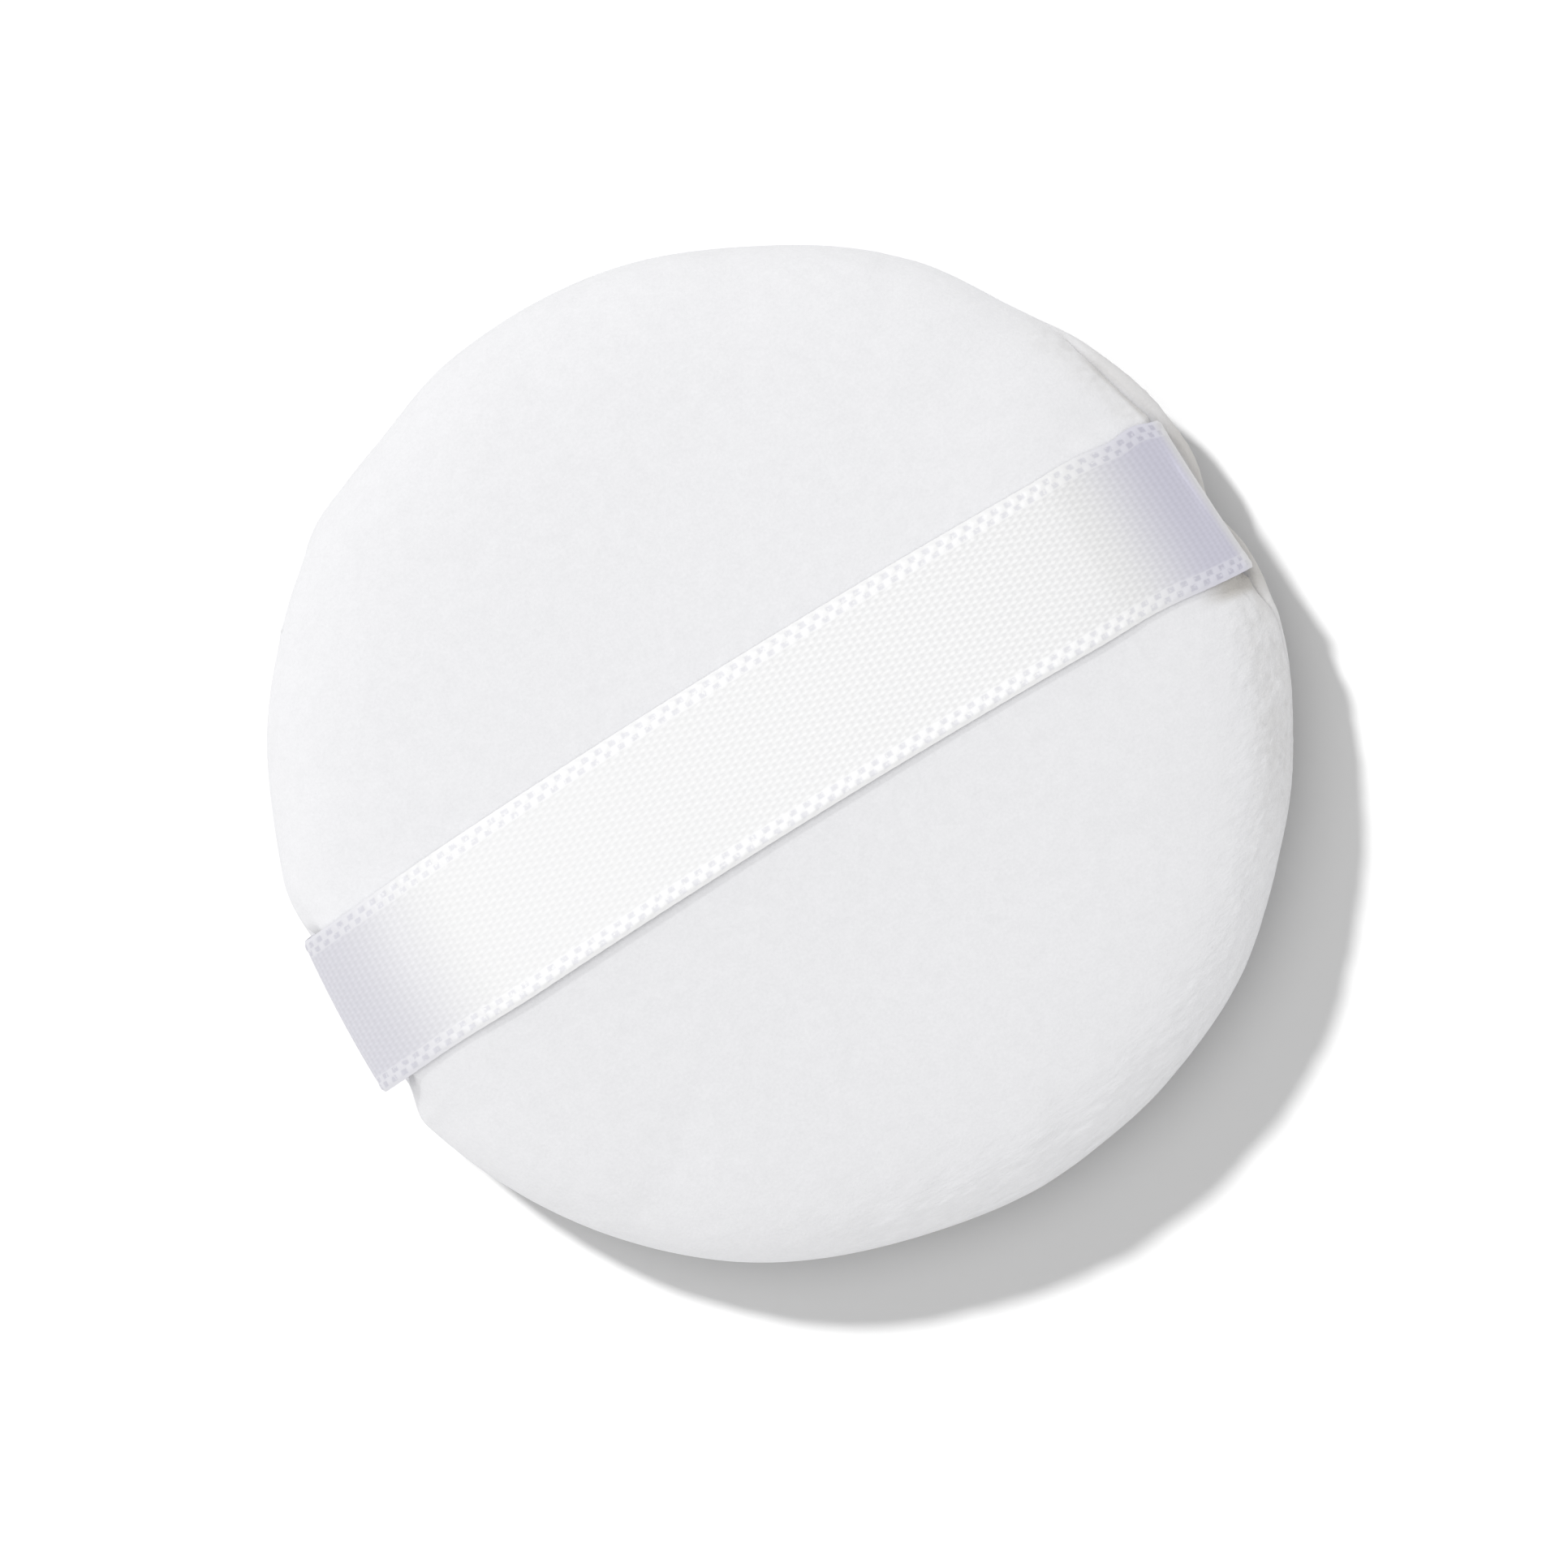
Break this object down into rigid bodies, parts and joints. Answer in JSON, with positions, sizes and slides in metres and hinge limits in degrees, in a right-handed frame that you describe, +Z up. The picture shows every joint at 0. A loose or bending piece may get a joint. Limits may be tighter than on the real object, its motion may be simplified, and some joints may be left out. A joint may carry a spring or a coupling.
{
  "type": "powder puff",
  "caption": "Round velour powder puff: two sewn covers over a foam disc, with a satin finger ribbon across the top that lifts off it.",
  "frame": {"origin": "on the resting surface, under the middle of the puff's box", "axes": "+X along the finger ribbon, towards the end where the seam is drawn up onto the top; +Z up, out of the ribbon's side"},
  "size_m": [0.0758, 0.0762, 0.0148],
  "materials": {
    "velour": "matte",
    "satin": "satin",
    "sponge": "matte",
    "thread": "matte"
  },
  "bodies": {
    "pad": {"top_cover": "velour", "bottom_cover": "velour", "sponge_core": "sponge", "seam_thread": "thread", "closing_thread": "thread", "ribbon_end_left": "satin", "ribbon_end_right": "satin"},
    "strap": {"ribbon_span": "satin"}
  },
  "joints": [
    {"name": "strap_lift", "type": "slide", "parent": "pad", "child": "strap", "axis": [0, 0, 1], "range_m": [0, 0.008], "deforming": ["ribbon_end_left", "ribbon_end_right"]}
  ]
}
